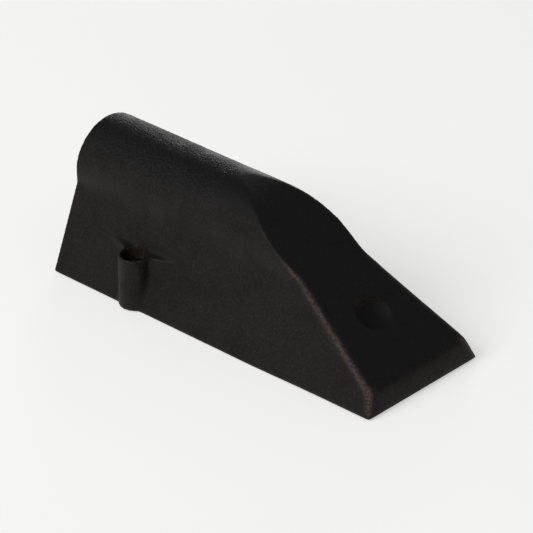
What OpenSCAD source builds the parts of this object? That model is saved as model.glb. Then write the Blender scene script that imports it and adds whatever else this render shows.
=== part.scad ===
// Cast point of an excavator bucket tooth with its side lock pin.
// +X runs from the rear rim to the cutting edge, +Z up, and Y = 0 is the middle plane.
// The origin is on the base, in the plane of the rear rim. All sizes are in millimetres.

/* [Tooth body] */
// Length from the rear rim to the cutting edge
tooth_length = 220; // [195:1:270]
// Width across the foot of the two side walls
base_width = 85; // [75:1:105]
// Height from the base to the top of the ridge
ridge_height = 77; // [70:1:95]
// Radius of the round ridge
ridge_radius = 24.5; // [22:0.5:27]
// Inward lean of each side wall, in degrees
wall_lean = 21.8; // [18:0.1:24]

/* [Working end] */
// Angle of the wedge's flat top face above the base, in degrees
wedge_angle = 30.6; // [28:0.1:31.5]
// Length of the flat top face, measured level from the tip
flat_length = 40; // [30:1:50]
// Radius of the hollow behind the flat top face
hollow_radius = 150; // [60:1:170]
// Angle of the steepest stretch, between the hollow and the crest, in degrees
steep_angle = 32.2; // [31.6:0.1:40]
// Radius of the crest, where the ridge bends down
crest_radius = 72; // [40:1:120]
// Height of the blunt tip
tip_height = 13; // [9:0.5:18]
// How far the top of the tip stands behind its foot
tip_setback = 4; // [1:0.5:8]
// Distance of the wear dimple's middle from the cutting edge
dimple_from_tip = 34.5; // [24:0.5:45]
// Radius of the dimple's mouth
dimple_radius = 11; // [6:0.5:13]
// Depth of the dimple
dimple_depth = 5; // [2:0.5:6]

/* [Nose socket] */
// Depth of the socket for the adapter nose
socket_depth = 118; // [100:1:125]
// Thickness of the base under the socket's mouth
floor_wall = 8; // [6:0.5:12]
// Thickness of the side walls at the socket's mouth, measured level
side_wall = 8; // [6:0.5:11]
// Thickness of the ridge over the socket's mouth
crown_wall = 8; // [6:0.5:11]
// Size of the socket's blind end as a share of its mouth
socket_taper = 0.62; // [0.5:0.01:0.7]

/* [Pin boss] */
// Distance of the lock pin's axis from the rear rim
pin_from_rim = 55; // [45:1:65]
// Height of the boss and its level shelf
shelf_height = 30; // [25:1:36]
// Diameter of the pin bore
bore_diameter = 13.6; // [12:0.2:16.4]
// Thickness of the boss around the bore
boss_wall = 2; // [1.6:0.2:4]
// Distance from the foot of the side wall out to the boss's outer face
boss_reach = 3.1; // [2:0.1:5]
// Reach of each wing of the shelf along the wall, from the pin's axis
wing_length = 23; // [16:1:28]
// How far a wing stands out from the wall beside the boss
wing_proud = 4.7; // [3:0.1:6]
// Width of the window between the bore and the socket
window_width = 9; // [6:0.5:11]
// Height of the wall under the window, above the socket's floor
window_sill = 2; // [1:0.5:3]
// Height of the wall left over the window, below the shelf
window_lintel = 9; // [4:0.5:9]

/* [Lock pin] */
// Length of the lock pin
pin_length = 22; // [16:1:27]
// Gap around the pin in its bore
pin_clearance = 0.35; // [0.3:0.05:0.6]
// How far the pin's lower end stands above the base
pin_recess = 1.5; // [1:0.5:3]
// Thickness of the rubber between the two steel strips
rubber_thickness = 3.6; // [3:0.1:4.5]
// Chamfer on the pin's ends
pin_chamfer = 1.2; // [0.5:0.1:1.5]
// Depth of the detent hollow in the inner strip
detent_depth = 1; // [0.5:0.1:1.5]

/* [Hidden] */
$fn = 96;
OVERLAP = 1;                 // how far cutters run past a face
HULL_FN = 32;                // sides of a circle inside a hull
SLICE = 0.01;                // thickness of a section inside a hull
RUBBER_INSET = 0.6;          // how far the rubber stays inside the strips' edges
CREST_LIFT = 0.3;            // how far the crest's arc tops the ridge, so that it crosses the ridge at an angle

lean_rate = tan(wall_lean);
foot = base_width / 2;
ridge_axis = ridge_height - ridge_radius;

// Half width of the leaning outer walls at height z
function wall_half(z) = foot - lean_rate * z;

// Height of the wedge's flat top face at distance x
function wedge_top(x) = tip_height + tan(wedge_angle) * (tooth_length - tip_setback - x);

// The hollow starts where the flat face ends, and turns up to the steep stretch
hollow_x = tooth_length - tip_setback - flat_length;
hollow_z = wedge_top(hollow_x);
steep_x = hollow_x - hollow_radius * (sin(steep_angle) - sin(wedge_angle));
steep_z = hollow_z + hollow_radius * (cos(wedge_angle) - cos(steep_angle));

// The steep stretch would meet the level line of the crest's top at the corner, which the crest rounds
crest_top = ridge_height + CREST_LIFT;
corner_x = steep_x - (crest_top - steep_z) / tan(steep_angle);
crest_reach = crest_radius * tan(steep_angle / 2);
crest_start = corner_x - crest_reach;
crest_end_x = corner_x + crest_reach * cos(steep_angle);
crest_end_z = crest_top - crest_reach * sin(steep_angle);

// The dimple is part of a ball that stands over the wedge's top face
dimple_x = tooth_length - dimple_from_tip;
dimple_ball = (pow(dimple_radius, 2) + pow(dimple_depth, 2)) / (2 * dimple_depth);
dimple_lift = dimple_ball - dimple_depth;

// Plan of the boss
bore_radius = bore_diameter / 2;
boss_radius = bore_radius + boss_wall;
pin_y = -(foot + boss_reach - boss_radius);
shelf_wall_y = -wall_half(shelf_height);
wing_root = wing_length + OVERLAP * (wing_length - boss_radius) / wing_proud;

// Mouth of the socket
socket_foot = wall_half(floor_wall) - side_wall;
socket_round = ridge_radius - crown_wall;
socket_lean_top = ridge_axis - socket_round * sin(wall_lean);

// The window lets the inner strip reach the adapter nose
window_bottom = floor_wall + window_sill;
window_top = shelf_height - window_lintel;
window_reach = 2 * side_wall + bore_radius;

// The pin
pin_radius = bore_radius - pin_clearance;
pin_middle = pin_recess + pin_length / 2;
rubber_half = rubber_thickness / 2;
rubber_chord = sqrt(pow(pin_radius, 2) - pow(rubber_half, 2)) - RUBBER_INSET;
detent_radius = (pow(pin_length / 4, 2) + pow(detent_depth, 2)) / (2 * detent_depth);

// Places a drawing made in Y and Z, and extrudes it along X
module along_x(from, length) {
    translate([from, 0, 0])
        rotate([90, 0, 90])
            linear_extrude(length)
                children();
}

// Section of the body: leaning walls with the round ridge on top
module body_section() {
    wall_top = ridge_axis;
    polygon([
        [-foot, 0],
        [foot, 0],
        [wall_half(wall_top), wall_top],
        [-wall_half(wall_top), wall_top]
    ]);
    translate([0, ridge_axis])
        circle(ridge_radius);
}

// Side view of the body, in X and Z: level ridge, crest, steep stretch, hollow, wedge and tip
module side_profile() {
    difference() {
        polygon([
            [0, 0],
            [tooth_length, 0],
            [tooth_length - tip_setback, tip_height],
            [hollow_x, hollow_z],
            [steep_x, steep_z],
            [crest_end_x, crest_end_z],
            [crest_start, crest_top],
            [crest_start, crest_top + OVERLAP],
            [0, crest_top + OVERLAP]
        ]);
        translate([hollow_x + hollow_radius * sin(wedge_angle), hollow_z + hollow_radius * cos(wedge_angle)])
            circle(hollow_radius);
    }
    intersection() {
        translate([crest_start, crest_top - crest_radius])
            circle(crest_radius);
        polygon([
            [crest_start, crest_top],
            [corner_x, crest_top],
            [crest_end_x, crest_end_z]
        ]);
    }
}

module body_blank() {
    intersection() {
        along_x(0, tooth_length) body_section();
        rotate([90, 0, 0])
            linear_extrude(base_width + OVERLAP, center = true)
                side_profile();
    }
}

// Half-round boss with a level shelf whose wings run out into the wall
module pin_boss() {
    translate([pin_from_rim, pin_y, 0])
        cylinder(r = boss_radius, h = shelf_height);
    linear_extrude(shelf_height)
        polygon([
            [pin_from_rim - wing_root, shelf_wall_y + OVERLAP],
            [pin_from_rim - boss_radius, shelf_wall_y - wing_proud],
            [pin_from_rim + boss_radius, shelf_wall_y - wing_proud],
            [pin_from_rim + wing_root, shelf_wall_y + OVERLAP]
        ]);
}

// Mouth or blind end of the socket; share is 1 at the mouth
module socket_section(share) {
    foot_half = socket_foot * share;
    round_radius = socket_round * share;
    round_z = floor_wall + (ridge_axis - floor_wall) * share;
    lean_top = floor_wall + (socket_lean_top - floor_wall) * share;
    top_half = foot_half - lean_rate * (lean_top - floor_wall);
    polygon([
        [-foot_half, floor_wall],
        [foot_half, floor_wall],
        [top_half, lean_top],
        [-top_half, lean_top]
    ]);
    translate([0, round_z])
        circle(round_radius, $fn = HULL_FN);
}

module socket() {
    hull() {
        along_x(-OVERLAP, SLICE) socket_section(1);
        along_x(0, SLICE) socket_section(1);
        along_x(socket_depth - SLICE, SLICE) socket_section(socket_taper);
    }
}

module pin_bore() {
    translate([pin_from_rim, pin_y, -OVERLAP])
        cylinder(r = bore_radius, h = ridge_height);
}

module pin_window() {
    translate([pin_from_rim - window_width / 2, pin_y, window_bottom])
        cube([window_width, window_reach, window_top - window_bottom]);
}

module wear_dimple() {
    translate([dimple_x, 0, wedge_top(dimple_x)])
        rotate([0, wedge_angle, 0])
            translate([0, 0, dimple_lift])
                rotate([90, 0, 0])
                    sphere(dimple_ball);
}

module tooth_point() {
    color([0.13, 0.11, 0.10])
        difference() {
            union() {
                body_blank();
                pin_boss();
            }
            socket();
            pin_bore();
            pin_window();
            wear_dimple();
        }
}

// Round bar of the pin with chamfered ends
module pin_bar() {
    translate([pin_from_rim, pin_y, pin_recess])
        rotate_extrude()
            polygon([
                [0, 0],
                [pin_radius - pin_chamfer, 0],
                [pin_radius, pin_chamfer],
                [pin_radius, pin_length - pin_chamfer],
                [pin_radius - pin_chamfer, pin_length],
                [0, pin_length]
            ]);
}

// The half of the bar that starts at the rubber; side is -1 outwards and 1 inwards
module pin_strip(side) {
    intersection() {
        pin_bar();
        translate([pin_from_rim, pin_y + side * (rubber_half + pin_radius), pin_middle])
            cube([3 * pin_radius, 2 * pin_radius, 2 * pin_length], center = true);
    }
}

module pin_keeper_strip() {
    color([0.30, 0.29, 0.28])
        pin_strip(-1);
}

// The inner strip has a shallow hollow across it, for the ridge on the adapter nose
module pin_detent_strip() {
    color([0.36, 0.34, 0.32])
        difference() {
            pin_strip(1);
            translate([pin_from_rim, pin_y + pin_radius + detent_radius - detent_depth, pin_middle])
                rotate([0, 90, 0])
                    cylinder(r = detent_radius, h = 3 * pin_radius, center = true);
        }
}

module pin_rubber_core() {
    color([0.06, 0.06, 0.06])
        translate([pin_from_rim, pin_y, pin_middle])
            cube([2 * rubber_chord, rubber_thickness, pin_length - 2 * pin_chamfer], center = true);
}

tooth_point();
pin_keeper_strip();
pin_rubber_core();
pin_detent_strip();
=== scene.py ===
# %% [markdown]
# # A cast bucket tooth with its side lock pin
# An excavator digs with replaceable steel teeth. Each tooth is one casting: a socket at the back slides
# over a nose on the bucket, and a round pin, driven down through a boss on the side, holds it there.
# This file only adds the looks: rounded edges, a sand-cast skin with painted light and shade, worn
# corners that also carry a painted highlight, oiled steel and rubber.
# Nothing here moves a part.

# %% Load the engineering model
import math

import bmesh
import bpy
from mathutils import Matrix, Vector


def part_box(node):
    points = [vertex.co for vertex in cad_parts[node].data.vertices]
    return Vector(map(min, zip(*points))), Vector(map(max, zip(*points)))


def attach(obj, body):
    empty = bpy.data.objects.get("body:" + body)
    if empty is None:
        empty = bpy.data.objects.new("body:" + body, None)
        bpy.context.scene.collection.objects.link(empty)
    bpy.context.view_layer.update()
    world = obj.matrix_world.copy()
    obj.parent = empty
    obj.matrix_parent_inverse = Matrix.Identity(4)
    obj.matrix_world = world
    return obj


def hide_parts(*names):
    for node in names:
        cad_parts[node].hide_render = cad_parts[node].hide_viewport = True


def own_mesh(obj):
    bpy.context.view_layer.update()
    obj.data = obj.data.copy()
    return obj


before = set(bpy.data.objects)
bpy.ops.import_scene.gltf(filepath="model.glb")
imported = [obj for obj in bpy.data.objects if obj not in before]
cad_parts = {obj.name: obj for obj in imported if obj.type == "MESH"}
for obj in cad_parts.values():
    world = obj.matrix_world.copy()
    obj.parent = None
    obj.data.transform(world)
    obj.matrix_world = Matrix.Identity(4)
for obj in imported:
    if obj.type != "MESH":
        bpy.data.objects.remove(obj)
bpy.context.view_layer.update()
print("nodes:", sorted(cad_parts))

# %% [markdown]
# ## Three small helpers
# Blender works in metres and in linear colour, while a maker thinks in millimetres and picks colours as
# sRGB hex values. `MM` and `linear` turn one into the other. `add` puts a node in a tree, sets its
# inputs and links them, so that a tree reads from top to bottom like a recipe.

# %% Units, colours and nodes
MM = 0.001


def linear(hex_colour):
    """Turns an sRGB hex colour such as 1f1b19 into linear red, green, blue and alpha."""
    parts = [int(hex_colour[i:i + 2], 16) / 255 for i in (0, 2, 4)]
    return [c / 12.92 if c <= 0.04045 else ((c + 0.055) / 1.055) ** 2.4 for c in parts] + [1.0]


def add(tree, kind, inputs=None, **settings):
    """Adds a node to a tree. An input's value is a number, a colour, or a socket to link from."""
    node = tree.nodes.new(kind)
    for name, value in settings.items():
        setattr(node, name, value)
    for name, value in (inputs or {}).items():
        if isinstance(value, bpy.types.NodeSocket):
            tree.links.new(value, node.inputs[name])
        else:
            node.inputs[name].default_value = value
    return node


print("1 mm is", MM, "m, and mid grey is", round(linear("808080")[0], 3), "in linear light")

# %% [markdown]
# ## The camera
# A part like this is shown with a long lens from a few paces away, so that its long edges stay nearly
# parallel. The camera stands in front of the tooth's tip, to the right of its side, and looks down.
# It is placed on a sphere round the point that it looks at, by two angles and a distance.

# %% Place the camera
VIEW_AZIMUTH = math.radians(42.8)
VIEW_ELEVATION = math.radians(29.7)
VIEW_DISTANCE = 1818 * MM
VIEW_ANGLE = math.radians(8.54)
AIM = Vector((111.6, 1.5, 28.1)) * MM

towards_camera = Vector((
    math.sin(VIEW_AZIMUTH) * math.cos(VIEW_ELEVATION),
    -math.cos(VIEW_AZIMUTH) * math.cos(VIEW_ELEVATION),
    math.sin(VIEW_ELEVATION),
))
camera = bpy.data.objects.new("camera", bpy.data.cameras.new("camera"))
camera.data.angle = VIEW_ANGLE
camera.data.clip_end = 50
camera.location = AIM + towards_camera * VIEW_DISTANCE
camera.rotation_euler = (math.pi / 2 - VIEW_ELEVATION, 0, VIEW_AZIMUTH)
bpy.context.scene.collection.objects.link(camera)
bpy.context.scene.camera = camera
print("camera at", [round(c, 3) for c in camera.location])

# %% [markdown]
# ## From a machined shape to a casting
# The engineering model has knife-sharp edges, and a sand casting has none: molten steel doesn't fill a
# sharp corner, and the fettler's wheel takes off what is left. A Bevel modifier would trip over the
# places where the boss runs into the leaning wall. So the shape is sampled into a signed distance grid,
# a field that says how far each point in space is from the surface, and meshed again with even squares
# about a millimetre wide. On such a mesh a blur of the points' places rounds every edge by itself, and
# more passes give a bigger radius. The same tree serves the pin's strips and rubber with finer squares.
#
# The tree also writes what the finish needs to know. The worn-edge attribute grows with how far the blur
# pulled a point in: nearly nothing on a flat, most on an outer corner, which is where the coat rubs off
# and where a painted highlight is laid as well; round the bore's lip it holds painted light. `sky_face`
# says how much a point looks up, and `pebble_skin` is 1 where the mould left a coarse pebble.

# %% Geometry Nodes tree: the inputs
def new_tree(name, inputs):
    """Makes an empty Geometry Nodes tree with named inputs, and gives the tree and its input node."""
    tree = bpy.data.node_groups.new(name, "GeometryNodeTree")
    tree.interface.new_socket("Geometry", in_out="INPUT", socket_type="NodeSocketGeometry")
    tree.interface.new_socket("Geometry", in_out="OUTPUT", socket_type="NodeSocketGeometry")
    for label, kind, value in inputs:
        socket = tree.interface.new_socket(label, in_out="INPUT", socket_type=kind)
        if value is not None:
            socket.default_value = value
    return tree, tree.nodes.new("NodeGroupInput").outputs


SKIN_INPUTS = [
    ("Square size", "NodeSocketFloat", 1 * MM),
    ("Edge passes", "NodeSocketInt", 2),
    ("Nose passes", "NodeSocketInt", 0),
    ("Nose starts at x", "NodeSocketFloat", 0.0),
    ("Nose ends at x", "NodeSocketFloat", 1.0),
    ("Wall lean", "NodeSocketFloat", 0.0),
    ("Wall foot", "NodeSocketFloat", 0.0),
    ("Keen height", "NodeSocketFloat", 5 * MM),
    ("Neck passes", "NodeSocketInt", 0),
    ("Neck height", "NodeSocketFloat", 0.0),
    ("Neck reach", "NodeSocketFloat", 1 * MM),
    ("Neck ends at x", "NodeSocketFloat", 0.0),
    ("Sand relief", "NodeSocketFloat", 0.0),
    ("Pebble relief", "NodeSocketFloat", 0.0),
    ("Pebble size", "NodeSocketFloat", 3 * MM),
    ("Pebbles from z", "NodeSocketFloat", 1.0),
    ("Pebbles until x", "NodeSocketFloat", 1.0),
    ("Bore middle", "NodeSocketVector", (0.0, 0.0, 0.0)),
    ("Bore radius", "NodeSocketFloat", 0.0),
    ("Seed", "NodeSocketFloat", 0.0),
    ("Finish", "NodeSocketMaterial", None),
]
skin_tree, skin_in = new_tree("sand cast skin", SKIN_INPUTS)
print("inputs:", [label for label, _, _ in SKIN_INPUTS])

# %% [markdown]
# ## Helpers for the tree
# A tree that is built in a script soon drowns in links. Each of these helpers adds one idea, such as a
# smooth step, a product or a blur, and hands back the socket that carries the result.

# %% Geometry Nodes tree: helpers
def ramp(tree, value, low, high, to_low=0.0, to_high=1.0):
    """A smooth step, from `to_low` where the value is `low` to `to_high` where it is `high`."""
    return add(
        tree, "ShaderNodeMapRange",
        {"Value": value, "From Min": low, "From Max": high, "To Min": to_low, "To Max": to_high},
        interpolation_type="SMOOTHSTEP",
    ).outputs[0]


def math_node(tree, operation, first, second):
    """One operation on two numbers, such as ADD or MAXIMUM."""
    node = add(tree, "ShaderNodeMath", operation=operation)
    for slot_number, value in enumerate((first, second)):
        if isinstance(value, bpy.types.NodeSocket):
            tree.links.new(value, node.inputs[slot_number])
        else:
            node.inputs[slot_number].default_value = value
    return node.outputs[0]


def product(tree, *values):
    """All the values multiplied together, from the first to the last."""
    total = values[0]
    for value in values[1:]:
        total = math_node(tree, "MULTIPLY", total, value)
    return total


def blur_places(tree, geometry, passes, weight):
    """Moves each point to where some passes of blur bring it."""
    place = add(tree, "GeometryNodeInputPosition").outputs[0]
    blurred = add(
        tree, "GeometryNodeBlurAttribute",
        {"Value": place, "Iterations": passes, "Weight": weight}, data_type="FLOAT_VECTOR",
    )
    return add(
        tree, "GeometryNodeSetPosition", {"Geometry": geometry, "Position": blurred.outputs[0]},
    ).outputs[0]


def soften(tree, value, passes):
    """A number on each point, blurred over its neighbours."""
    return add(
        tree, "GeometryNodeBlurAttribute", {"Value": value, "Iterations": passes}, data_type="FLOAT",
    ).outputs[0]


def store(tree, geometry, name, value, data_type="FLOAT"):
    """Keeps a value on each point under a name, for the material or a later stage."""
    return add(
        tree, "GeometryNodeStoreNamedAttribute", {"Geometry": geometry, "Name": name, "Value": value},
        data_type=data_type, domain="POINT",
    ).outputs[0]


print("tree helpers ready")

# %% [markdown]
# ## Even squares, then rounded edges
# The part becomes a distance grid, and the grid becomes a mesh of even squares. Each point then writes
# down where it is, because the finish asks later how far the blur has moved it, and the first blur
# rounds all edges.

# %% Geometry Nodes tree: even squares, then rounded edges
grid = add(skin_tree, "GeometryNodeMeshToSDFGrid", {
    "Mesh": skin_in[0], "Voxel Size": skin_in["Square size"],
})
squares = add(skin_tree, "GeometryNodeGridToMesh", {"Grid": grid.outputs[0], "Threshold": 0.0})
drawn_place = add(skin_tree, "GeometryNodeInputPosition").outputs[0]
marked = store(skin_tree, squares.outputs[0], "sharp_place", drawn_place, "FLOAT_VECTOR")
rounded = blur_places(skin_tree, marked, skin_in["Edge passes"], 1.0)
print("the first stage has", len(skin_tree.nodes), "nodes")

# %% [markdown]
# ## Where each point lies
# The casting's edges aren't equally soft, so each point has to know how far along the slope it is, how
# near the plane of the side wall, and how near the crease under the ridge. Each zone is a smooth step
# between 0 and 1, so that no line shows where it ends. The wall leans in, so a point is on its plane
# where its distance from the middle, plus the lean times its height, is the wall's place at the foot.

# %% Geometry Nodes tree: where each point lies on the tooth
KEEN_SHARE = 0.15
WALL_BAND = 8 * MM
WALL_CORE = 4 * MM
TIP_BAND = 12 * MM
NECK_FADE = 30 * MM
RIM_STARTS = 3 * MM
RIM_ENDS = 22 * MM

place_now = add(skin_tree, "GeometryNodeInputPosition").outputs[0]
axes = add(skin_tree, "ShaderNodeSeparateXYZ", {"Vector": place_now}).outputs
along, across, up = axes["X"], axes["Y"], axes["Z"]
towards_nose = ramp(skin_tree, along, skin_in["Nose starts at x"], skin_in["Nose ends at x"])
above_edge = ramp(skin_tree, up, 0.0, skin_in["Keen height"], KEEN_SHARE)
out_from_middle = add(skin_tree, "ShaderNodeMath", {0: across}, operation="ABSOLUTE").outputs[0]
wall_line = math_node(
    skin_tree, "ADD", out_from_middle, product(skin_tree, up, skin_in["Wall lean"]),
)
near_wall = ramp(
    skin_tree, wall_line,
    math_node(skin_tree, "SUBTRACT", skin_in["Wall foot"], WALL_BAND),
    math_node(skin_tree, "SUBTRACT", skin_in["Wall foot"], WALL_CORE),
)
near_tip = ramp(
    skin_tree, along,
    math_node(skin_tree, "SUBTRACT", skin_in["Nose ends at x"], TIP_BAND), skin_in["Nose ends at x"],
)
above_neck = math_node(skin_tree, "SUBTRACT", up, skin_in["Neck height"])
neck_distance = add(skin_tree, "ShaderNodeMath", {0: above_neck}, operation="ABSOLUTE").outputs[0]
near_neck = ramp(skin_tree, neck_distance, skin_in["Neck reach"], 0.0)
behind_slope = ramp(
    skin_tree, along,
    math_node(skin_tree, "SUBTRACT", skin_in["Neck ends at x"], NECK_FADE), skin_in["Neck ends at x"],
    1.0, 0.0,
)
inside_rim = ramp(skin_tree, along, RIM_STARTS, RIM_ENDS)
print("with the zones it has", len(skin_tree.nodes), "nodes")

# %% [markdown]
# ## Softer corners and a filled crease
# The blur runs twice more, with the zones multiplied together as its weight. The first run rounds the
# corners of the wedge, which are cast with a large radius. The second fills the crease, or neck, where
# the side wall meets the ridge, and leaves the rim of the socket alone.

# %% Geometry Nodes tree: softer corners at the nose, and a filled neck under the ridge
near_corner = math_node(skin_tree, "MAXIMUM", near_wall, near_tip)
nose_weight = product(skin_tree, towards_nose, above_edge, near_corner)
nosed = blur_places(skin_tree, rounded, skin_in["Nose passes"], nose_weight)
neck_weight = product(skin_tree, near_neck, behind_slope, inside_rim)
necked = blur_places(skin_tree, nosed, skin_in["Neck passes"], neck_weight)
print("the rounding has", len(skin_tree.nodes), "nodes")

# %% [markdown]
# ## Sand relief and what the finish reads
# Green sand leaves a skin of small hollows, and along the ridge, where the mould was rammed less, a
# coarse pebble. Both only ever sink in, so the casting never grows past its drawn size. The coat is
# worn off most on the corners of the wedge and less on the rims round the boss, and those lighter edges
# stand in for highlights as well. Round the bore's lip the colour is lightened as painted light, in
# place of the light that falls on the bore's walls.

# %% Geometry Nodes tree: worn edges with painted highlights, and painted light in the bore
WEAR_AND_SHEEN_FULL = 1.1 * MM
WEAR_AND_SHEEN_NONE = 0.12 * MM
RIM_WEAR_AND_SHEEN_FULL = 0.4 * MM
RIM_WEAR_AND_SHEEN = 0.5
BORE_PAINTED_LIGHT = 0.45
BORE_LIP = 0.5 * MM

surface_normal = add(skin_tree, "GeometryNodeInputNormal").outputs[0]
was_place = add(
    skin_tree, "GeometryNodeInputNamedAttribute", {"Name": "sharp_place"}, data_type="FLOAT_VECTOR",
).outputs[0]
pulled = add(skin_tree, "ShaderNodeVectorMath", {0: was_place, 1: place_now}, operation="SUBTRACT")
pulled_in = add(
    skin_tree, "ShaderNodeVectorMath", {0: pulled.outputs["Vector"], 1: surface_normal},
    operation="DOT_PRODUCT",
).outputs["Value"]
# Lighter edges, partly worn steel and partly a painted highlight, on the side-wall corners and boss
# rims.
worn_and_lit_corners = ramp(skin_tree, pulled_in, WEAR_AND_SHEEN_NONE, WEAR_AND_SHEEN_FULL)
wall_wear_and_sheen = product(skin_tree, worn_and_lit_corners, near_wall, above_edge)
sharp_rims = ramp(skin_tree, pulled_in, WEAR_AND_SHEEN_NONE, RIM_WEAR_AND_SHEEN_FULL, 0.0, RIM_WEAR_AND_SHEEN)
rim_wear_and_sheen = product(skin_tree, sharp_rims, inside_rim, behind_slope)
in_plan = add(
    skin_tree, "ShaderNodeVectorMath", {0: place_now, 1: (1.0, 1.0, 0.0)}, operation="MULTIPLY",
).outputs[0]
from_bore = add(
    skin_tree, "ShaderNodeVectorMath", {0: in_plan, 1: skin_in["Bore middle"]}, operation="DISTANCE",
).outputs["Value"]
# Painted light: the bore's lip is lightened like bare steel, standing in for the light on the bore's
# walls.
bore_painted_light = ramp(
    skin_tree, from_bore, math_node(skin_tree, "ADD", skin_in["Bore radius"], BORE_LIP),
    skin_in["Bore radius"], 0.0, BORE_PAINTED_LIGHT,
)
wear_and_sheen = math_node(
    skin_tree, "MAXIMUM", math_node(skin_tree, "MAXIMUM", wall_wear_and_sheen, rim_wear_and_sheen), bore_painted_light,
)
with_wear_and_sheen = store(skin_tree, necked, "edge_wear_and_sheen", soften(skin_tree, wear_and_sheen, 1))
print("with the wear it has", len(skin_tree.nodes), "nodes")

# %% [markdown]
# ## Faces that look up, and the ridge
# The coat's tone is painted by how each face meets the light, blacker on faces that look up and browner
# on the walls, so the tree notes how much each point looks up. The pebble fades out below the ridge and
# towards the slope.

# %% Geometry Nodes tree: faces that look up, and the pebbled ridge
SKY_STARTS = 0.45
SKY_FULL = 0.8
PEBBLE_FADE_UP = 12 * MM
PEBBLE_FADE_ALONG = 18 * MM

normal_up = add(skin_tree, "ShaderNodeSeparateXYZ", {"Vector": surface_normal}).outputs["Z"]
sky = ramp(skin_tree, normal_up, SKY_STARTS, SKY_FULL)
with_sky = store(skin_tree, with_wear_and_sheen, "sky_face", soften(skin_tree, sky, 2))
high_up = ramp(
    skin_tree, up,
    math_node(skin_tree, "SUBTRACT", skin_in["Pebbles from z"], PEBBLE_FADE_UP),
    skin_in["Pebbles from z"],
)
far_back = ramp(
    skin_tree, along,
    math_node(skin_tree, "SUBTRACT", skin_in["Pebbles until x"], PEBBLE_FADE_ALONG),
    skin_in["Pebbles until x"], 1.0, 0.0,
)
pebble_zone = product(skin_tree, high_up, far_back)
with_pebbles = store(skin_tree, with_sky, "pebble_skin", pebble_zone)
print("with the attributes it has", len(skin_tree.nodes), "nodes")

# %% [markdown]
# ## Relief and material
# Noise sinks the points along their normals, a little everywhere and more in the pebbled zone. The tree
# ends with Realize Instances and Set Material, because the export drops instances.

# %% Geometry Nodes tree: relief and material
pebble_scale = math_node(skin_tree, "DIVIDE", 1.0, skin_in["Pebble size"])
pebbles = add(
    skin_tree, "ShaderNodeTexNoise",
    {"W": skin_in["Seed"], "Scale": pebble_scale, "Detail": 2.0, "Roughness": 0.6},
    noise_dimensions="4D",
).outputs[0]
pebbly = product(skin_tree, pebble_zone, skin_in["Pebble relief"])
relief = math_node(skin_tree, "ADD", pebbly, skin_in["Sand relief"])
sink = product(skin_tree, pebbles, relief, -1.0)
inwards = add(skin_tree, "ShaderNodeVectorMath", {0: surface_normal, "Scale": sink}, operation="SCALE")
sunk = add(
    skin_tree, "GeometryNodeSetPosition", {"Geometry": with_pebbles, "Offset": inwards.outputs[0]},
)
cleaned = add(
    skin_tree, "GeometryNodeRemoveAttribute", {"Geometry": sunk.outputs[0], "Name": "sharp_place"},
)
smooth = add(skin_tree, "GeometryNodeSetShadeSmooth", {"Geometry": cleaned.outputs[0]})
whole = add(skin_tree, "GeometryNodeRealizeInstances", {"Geometry": smooth.outputs[0]})
finished = add(
    skin_tree, "GeometryNodeSetMaterial",
    {"Geometry": whole.outputs[0], "Material": skin_in["Finish"]},
)
skin_out = skin_tree.nodes.new("NodeGroupOutput")
skin_tree.links.new(finished.outputs[0], skin_out.inputs[0])
print("the whole tree has", len(skin_tree.nodes), "nodes")

# %% [markdown]
# ## Using the tree
# The tree is a modifier on a copy of the engineering part, with its loose triangles merged first, since
# a distance grid needs a closed skin. Once the inputs are set, the evaluated result becomes a plain
# mesh, and the modifier goes.

# %% Cast a piece from an engineering node
SAME_POINT = 0.001 * MM


def cast_from(node, name, values):
    """Runs the skin tree on a merged copy of an engineering node, and gives the finished piece."""
    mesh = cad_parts[node].data.copy()
    mesh.name = name
    work = bmesh.new()
    work.from_mesh(mesh)
    bmesh.ops.remove_doubles(work, verts=work.verts, dist=SAME_POINT)
    work.to_mesh(mesh)
    work.free()
    piece = bpy.data.objects.new(name, mesh)
    bpy.context.scene.collection.objects.link(piece)
    modifier = piece.modifiers.new("skin", "NODES")
    modifier.node_group = skin_tree
    sockets = skin_tree.interface.items_tree
    identifiers = {s.name: s.identifier for s in sockets if s.in_out == "INPUT"}
    for label, value in values.items():
        modifier[identifiers[label]] = value
    evaluated = piece.evaluated_get(bpy.context.evaluated_depsgraph_get())
    result = bpy.data.meshes.new_from_object(evaluated)
    piece.modifiers.remove(modifier)
    piece.data = result
    triangles = sum(len(p.vertices) - 2 for p in result.polygons)
    print(name, "has", triangles, "triangles")
    return piece


print("cast_from is ready")

# %% [markdown]
# ## The black coat on cast steel
# The casting is low-alloy steel, quenched and tempered, shot-blasted and then dipped in a thin black
# protective coat. The coat is a rough, almost colourless black. Shot leaves dimples about a
# millimetre wide, so light breaks up into a fine speckle, and that speckle is also painted in. On the
# side walls the colour is browner, a painted tone that follows how the light falls there, and on edges
# the coat rubs off to bronze-brown steel, with a painted highlight laid on them too. A plain dark colour
# would look like plastic; the speckle, the drift in gloss and the bright edges are what make it read as
# iron.

# %% Shading helpers
def new_material(name):
    """An empty material with its tree, its Principled shader and its object coordinates."""
    material = bpy.data.materials.new(name)
    material.use_nodes = True
    tree = material.node_tree
    tree.nodes.clear()
    shader = add(tree, "ShaderNodeBsdfPrincipled")
    add(tree, "ShaderNodeOutputMaterial", {"Surface": shader.outputs[0]})
    return material, tree, shader, add(tree, "ShaderNodeTexCoord").outputs["Object"]


def noise(tree, place, size, detail=2.0, roughness=0.5):
    """Noise whose lumps are about `size` metres across, as a value from 0 to 1."""
    return add(
        tree, "ShaderNodeTexNoise",
        {"Vector": place, "Scale": 1 / size, "Detail": detail, "Roughness": roughness},
    ).outputs[0]


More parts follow.
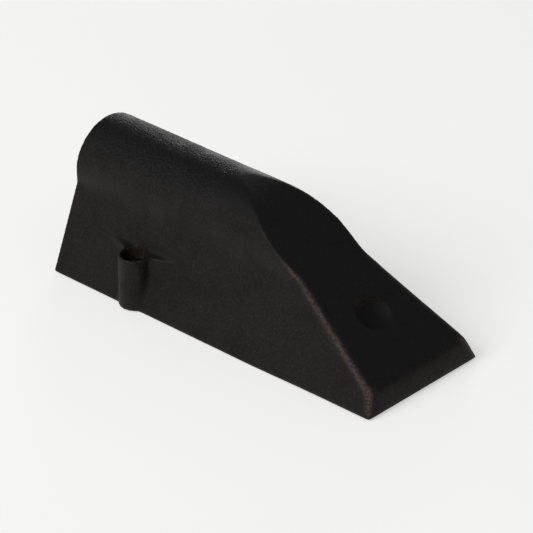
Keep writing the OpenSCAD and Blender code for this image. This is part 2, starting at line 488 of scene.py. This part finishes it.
def mix(tree, share, first, second):
    """A colour between two others."""
    node = add(tree, "ShaderNodeMix", {"Factor": share}, data_type="RGBA")
    for socket, value in ((node.inputs[6], first), (node.inputs[7], second)):
        if isinstance(value, bpy.types.NodeSocket):
            tree.links.new(value, socket)
        else:
            socket.default_value = value
    return node.outputs[2]


def attribute(tree, name):
    """A number that the Geometry Nodes tree left on each point."""
    return add(tree, "ShaderNodeAttribute", attribute_name=name).outputs["Fac"]


def bump(tree, height, distance, strength=1.0, under=None):
    """A bump of up to `distance` metres, laid over another bump if one is given."""
    inputs = {"Height": height, "Distance": distance, "Strength": strength}
    if under is not None:
        inputs["Normal"] = under
    return add(tree, "ShaderNodeBump", inputs).outputs[0]


print("shading helpers ready")

# %% [markdown]
# ## How the coat is made up
# The colour goes from brown to black by how much a face looks up, painted after how light falls on each
# face. The dimple noise that makes the shot's bump also paints its hollows darker and its crowns
# lighter, a painted shade and glint, weaker on faces that look up. Steel shows in patches where the
# worn-edge attribute asks for it, partly worn steel and partly a painted highlight. Three bumps lie over
# one another: the sand's lumps, the ridge's pebble and the shot's dimples. Noise keeps mostly between
# 0.3 and 0.7, so that span is what a gloss that drifts is spread over.

# %% The coated casting
NOISE_SPAN = (0.3, 0.7)
UP_FACING_PAINTED_TONE = linear("171617")
WALL_PAINTED_TONE = linear("130f0d")
SPECK_PAINTED_SHADE = linear("080707")
SPECK_PAINTED_GLINT = linear("231f1d")
WORN_BRONZE_AND_SHEEN = linear("584c45")
SHOT_DIMPLE = 1.1 * MM
COAT_DRIFT = 14 * MM
SAND_LUMP = 3 * MM
PEBBLE = 1.5 * MM
SHOT_DEPTH = 0.14 * MM
LUMP_DEPTH = 0.25 * MM
PEBBLE_DEPTH = 0.9 * MM
SPECKS_ON_WALLS = 0.9
SPECKS_ON_TOP = 0.35
SPECK_HOLLOWS = (0.52, 0.36)
SPECK_CROWNS = (0.5, 0.68)
WORN_PATCHES = (0.36, 0.62, 0.3, 1.0)
COAT_SATIN = 0.5
COAT_DULL = 0.64
COAT_SPECULAR = 0.2


def coated_cast_steel():
    """Black-dipped, shot-blasted cast steel, its tone painted by facing, with painted speckle and edges
    worn to steel that also carry a painted highlight.
    """
    material, tree, shader, place = new_material("black_coated_cast_steel")
    sky_face = attribute(tree, "sky_face")
    dimples = noise(tree, place, SHOT_DIMPLE, detail=3.0, roughness=0.65)
    pebbles = noise(tree, place, PEBBLE, roughness=0.6)
    drift = noise(tree, place, COAT_DRIFT, detail=3.0)
    lumps = noise(tree, place, SAND_LUMP)
    # Painted light and shade: brown where a face looks sideways, black where it looks up.
    coat = mix(tree, sky_face, WALL_PAINTED_TONE, UP_FACING_PAINTED_TONE)
    # Painted shade in the dimples' hollows and painted glints on their crowns, fewer on faces that look
    # up.
    speck_share = ramp(tree, sky_face, 0.0, 1.0, SPECKS_ON_WALLS, SPECKS_ON_TOP)
    shaded_hollows = product(tree, ramp(tree, dimples, *SPECK_HOLLOWS), speck_share)
    glinting_crowns = product(tree, ramp(tree, dimples, *SPECK_CROWNS), speck_share)
    speckled = mix(tree, glinting_crowns, mix(tree, shaded_hollows, coat, SPECK_PAINTED_SHADE), SPECK_PAINTED_GLINT)
    # Bronze-brown edges: worn steel in patches, partly a painted highlight; the bore's lip holds painted
    # light.
    rubbed_and_sheen = product(tree, attribute(tree, "edge_wear_and_sheen"), ramp(tree, pebbles, *WORN_PATCHES))
    colour = mix(tree, rubbed_and_sheen, speckled, WORN_BRONZE_AND_SHEEN)
    tree.links.new(colour, shader.inputs["Base Color"])
    gloss = ramp(tree, drift, *NOISE_SPAN, COAT_SATIN, COAT_DULL)
    tree.links.new(gloss, shader.inputs["Roughness"])
    shader.inputs["Specular IOR Level"].default_value = COAT_SPECULAR
    coarse = bump(tree, lumps, LUMP_DEPTH, strength=0.5)
    on_ridge = product(tree, pebbles, attribute(tree, "pebble_skin"))
    pebbled = bump(tree, on_ridge, PEBBLE_DEPTH, under=coarse)
    fine = bump(tree, dimples, SHOT_DEPTH, strength=0.9, under=pebbled)
    tree.links.new(fine, shader.inputs["Normal"])
    return material


cast_steel = coated_cast_steel()
print(cast_steel.name, "has", len(cast_steel.node_tree.nodes), "nodes")

# %% [markdown]
# ## The tooth casting
# Two passes of blur give the usual casting radius of about a millimetre everywhere. Towards the cutting
# end the real tooth is much softer: its corners have a radius of about 5 mm, so the tree blurs there
# again, with a weight that grows from the middle of the slope to the tip. The lowest few millimetres
# get little of it, so that the cutting edge itself stays keen. The crease where the leaning wall meets
# the round ridge is filled in the same way. The bore's place comes from the pin that sits in it.

# %% Make the tooth casting
casting_low, casting_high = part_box("tooth_point")
length = casting_high.x - casting_low.x
slope_middle = length * 0.62
WALL_LEAN = math.tan(math.radians(21.8))
WALL_MEETS_RIDGE = 47 * MM
PIN_GAP = 0.35 * MM
pin_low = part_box("pin_keeper_strip")[0]
pin_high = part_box("pin_detent_strip")[1]
bore_middle = (pin_low + pin_high) / 2
tooth_casting = cast_from("tooth_point", "tooth_casting", {
    "Square size": 1.0 * MM,
    "Edge passes": 2,
    "Nose passes": 22,
    "Nose starts at x": slope_middle,
    "Nose ends at x": length * 0.97,
    "Neck passes": 14,
    "Neck height": WALL_MEETS_RIDGE,
    "Neck reach": 15 * MM,
    "Neck ends at x": slope_middle,
    "Wall lean": WALL_LEAN,
    "Wall foot": casting_high.y,
    "Sand relief": 0.12 * MM,
    "Pebble relief": 0.45 * MM,
    "Pebble size": 2.6 * MM,
    "Pebbles from z": casting_high.z - 8 * MM,
    "Pebbles until x": length * 0.46,
    "Bore middle": (bore_middle.x, bore_middle.y, 0.0),
    "Bore radius": (pin_high.x - pin_low.x) / 2 + PIN_GAP,
    "Seed": 4.0,
    "Finish": cast_steel,
})
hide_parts("tooth_point")
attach(tooth_casting, "tooth")

# %% [markdown]
# ## The lock pin
# The pin is a sandwich: two half-round strips of spring steel with a block of rubber between them. It is
# a little too thick for the gap that it is driven into, so the rubber stays squeezed and the pin can't
# fall out. Strips are cut from bar, chamfered and blacked in oil, which leaves a satin sheen with fine
# lines along the bar. The rubber is moulded, dull, and softer at its edges.

# %% Oiled steel and rubber
OILED_STEEL = linear("5a5856")
OIL_STAIN = linear("2c2825")
BARE_STEEL = linear("8a8682")
BAR_LINE = 0.35 * MM
BAR_STRETCH = (1.0, 1.0, 0.06)
STAIN = 4 * MM
STAIN_PATCHES = (0.4, 0.65)
OILED_SHEEN = (0.32, 0.5)
RUBBER_BLACK = linear("191919")
RUBBER_BLOOM = linear("2b2a29")
RUBBER_GRAIN = 0.4 * MM
BLOOM = 3 * MM
BLOOM_PATCHES = (0.45, 0.75)
RUBBER_DULLNESS = (0.62, 0.8)
SKIN_BUMP = 0.03 * MM
RUBBER_IOR = 1.52


def oiled_spring_steel():
    """Heat-treated bar, blacked in oil: a metal with fine lines along the bar and darker stains."""
    material, tree, shader, place = new_material("oil_blacked_spring_steel")
    stretched = add(tree, "ShaderNodeMapping", {"Vector": place, "Scale": BAR_STRETCH}).outputs[0]
    lines = noise(tree, stretched, BAR_LINE, detail=3.0, roughness=0.6)
    stains = noise(tree, place, STAIN, detail=4.0, roughness=0.6)
    stained = mix(tree, ramp(tree, stains, *STAIN_PATCHES), OILED_STEEL, OIL_STAIN)
    rubbed_and_sheen = mix(tree, attribute(tree, "edge_wear_and_sheen"), stained, BARE_STEEL)
    tree.links.new(rubbed_and_sheen, shader.inputs["Base Color"])
    tree.links.new(ramp(tree, lines, *NOISE_SPAN, *OILED_SHEEN), shader.inputs["Roughness"])
    tree.links.new(bump(tree, lines, SKIN_BUMP, strength=0.6), shader.inputs["Normal"])
    shader.inputs["Metallic"].default_value = 1.0
    return material


def moulded_rubber():
    """Vulcanised rubber: dull black with a faint grey bloom and a fine moulded grain."""
    material, tree, shader, place = new_material("moulded_nitrile_rubber")
    grain = noise(tree, place, RUBBER_GRAIN)
    bloom = noise(tree, place, BLOOM, detail=3.0)
    colour = mix(tree, ramp(tree, bloom, *BLOOM_PATCHES), RUBBER_BLACK, RUBBER_BLOOM)
    tree.links.new(colour, shader.inputs["Base Color"])
    tree.links.new(ramp(tree, bloom, *NOISE_SPAN, *RUBBER_DULLNESS), shader.inputs["Roughness"])
    tree.links.new(bump(tree, grain, SKIN_BUMP, strength=0.6), shader.inputs["Normal"])
    shader.inputs["IOR"].default_value = RUBBER_IOR
    return material


spring_steel = oiled_spring_steel()
rubber = moulded_rubber()
print("made", spring_steel.name, "and", rubber.name)

# %% [markdown]
# ## The two strips
# Both strips come from the same tree, with squares a quarter of a millimetre wide, since their edges are
# much finer than the casting's. The outer strip rides with the pin. The inner one rides on its own,
# because it moves towards the outer one when the rubber is squeezed.

# %% Make the pin's strips
PIN_SQUARE = 0.25 * MM
STRIP_SKIN = {
    "Square size": PIN_SQUARE, "Edge passes": 2, "Sand relief": 0.02 * MM, "Finish": spring_steel,
}
for node, name, body in (
    ("pin_keeper_strip", "keeper_strip", "lock_pin"),
    ("pin_detent_strip", "detent_strip", "detent"),
):
    strip = cast_from(node, name, STRIP_SKIN)
    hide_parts(node)
    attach(strip, body)

# %% [markdown]
# ## The rubber core
# When the inner strip is pushed in, the rubber between the strips gets thinner: in the real pin the
# block keeps the face that is bonded to the outer strip and flattens towards it. Here the block is cast,
# rides with the pin, and gets a mesh of its own.

# %% Make the rubber core
rubber_core = cast_from("pin_rubber_core", "rubber_core", {
    "Square size": PIN_SQUARE, "Edge passes": 3, "Sand relief": 0.03 * MM, "Finish": rubber,
})
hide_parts("pin_rubber_core")
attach(rubber_core, "lock_pin")
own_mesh(rubber_core)

# %% [markdown]
# ## Floor and light
# The tooth stands on a plain pale floor that runs far past the picture. A nearly black object shows its
# shape by what it reflects, so the lights are placed by where each face looks. A wide soft light at the
# front left shows the side wall, and a weak one low on the same side adds a little gloss. One behind and
# low on the left gives the ridge its bright rim. The sky is dim, so the wedge's top face, which looks up
# and away from all three, stays dark. The paint glows faintly, which keeps the floor pale in that light.

# %% Floor
FLOOR_PALE = linear("e9e9e8")
FLOOR_PALER = linear("ececeb")
FLOOR_CLOUD = 120 * MM
FLOOR_GRAIN = 2 * MM
FLOOR_RELIEF = 0.05 * MM
FLOOR_GLOW = 0.62
FLOOR_HALF = 6.0
FLOOR_DROP = -0.1 * MM


def pale_floor_paint():
    """Matt studio paint with a very faint roller texture."""
    material, tree, shader, place = new_material("matt_floor_paint")
    cloud = noise(tree, place, FLOOR_CLOUD)
    grain = noise(tree, place, FLOOR_GRAIN)
    tree.links.new(mix(tree, cloud, FLOOR_PALE, FLOOR_PALER), shader.inputs["Base Color"])
    tree.links.new(bump(tree, grain, FLOOR_RELIEF, strength=0.2), shader.inputs["Normal"])
    shader.inputs["Roughness"].default_value = 0.9
    shader.inputs["Specular IOR Level"].default_value = 0.1
    shader.inputs["Emission Color"].default_value = FLOOR_PALE
    shader.inputs["Emission Strength"].default_value = FLOOR_GLOW
    return material


floor_mesh = bpy.data.meshes.new("studio_floor")
floor_mesh.from_pydata([
    (-FLOOR_HALF, -FLOOR_HALF, FLOOR_DROP), (FLOOR_HALF, -FLOOR_HALF, FLOOR_DROP),
    (FLOOR_HALF, FLOOR_HALF, FLOOR_DROP), (-FLOOR_HALF, FLOOR_HALF, FLOOR_DROP),
], [], [(0, 1, 2, 3)])
studio_floor = bpy.data.objects.new("studio_floor", floor_mesh)
floor_mesh.materials.append(pale_floor_paint())
bpy.context.scene.collection.objects.link(studio_floor)
print("the floor is", 2 * FLOOR_HALF, "m wide")

# %% [markdown]
# ## Lights
# An area light shines along its own -Z, so each one is turned to face the point that the camera looks
# at, and hidden from the camera itself. The Standard view transform shows colours as they are, with no
# film curve over them.

# %% Lights
def soft_light(name, direction, distance, size, power):
    """A square soft light that looks at the tooth from a direction."""
    light = bpy.data.objects.new(name, bpy.data.lights.new(name, "AREA"))
    light.data.shape = "SQUARE"
    light.data.size = size
    light.data.energy = power
    light.visible_camera = False
    light.location = AIM + Vector(direction).normalized() * distance
    light.rotation_euler = (AIM - light.location).to_track_quat("-Z", "Y").to_euler()
    bpy.context.scene.collection.objects.link(light)
    return light


SKY_WHITE = linear("f2f2f2")
SKY_STRENGTH = 0.24
soft_light("key_light", direction=(-0.2, -0.78, 0.62), distance=2.4, size=1.2, power=24)
soft_light("side_light", direction=(-0.6, -0.8, 0.15), distance=1.8, size=0.8, power=0.5)
soft_light("back_light", direction=(-0.59, 0.8, 0.12), distance=2.4, size=0.8, power=12)
world = bpy.data.worlds.new("studio_sky")
world.use_nodes = True
world.node_tree.nodes["Background"].inputs["Color"].default_value = SKY_WHITE
world.node_tree.nodes["Background"].inputs["Strength"].default_value = SKY_STRENGTH
bpy.context.scene.world = world
bpy.context.scene.view_settings.view_transform = "Standard"
print("three soft lights and a sky of strength", SKY_STRENGTH)
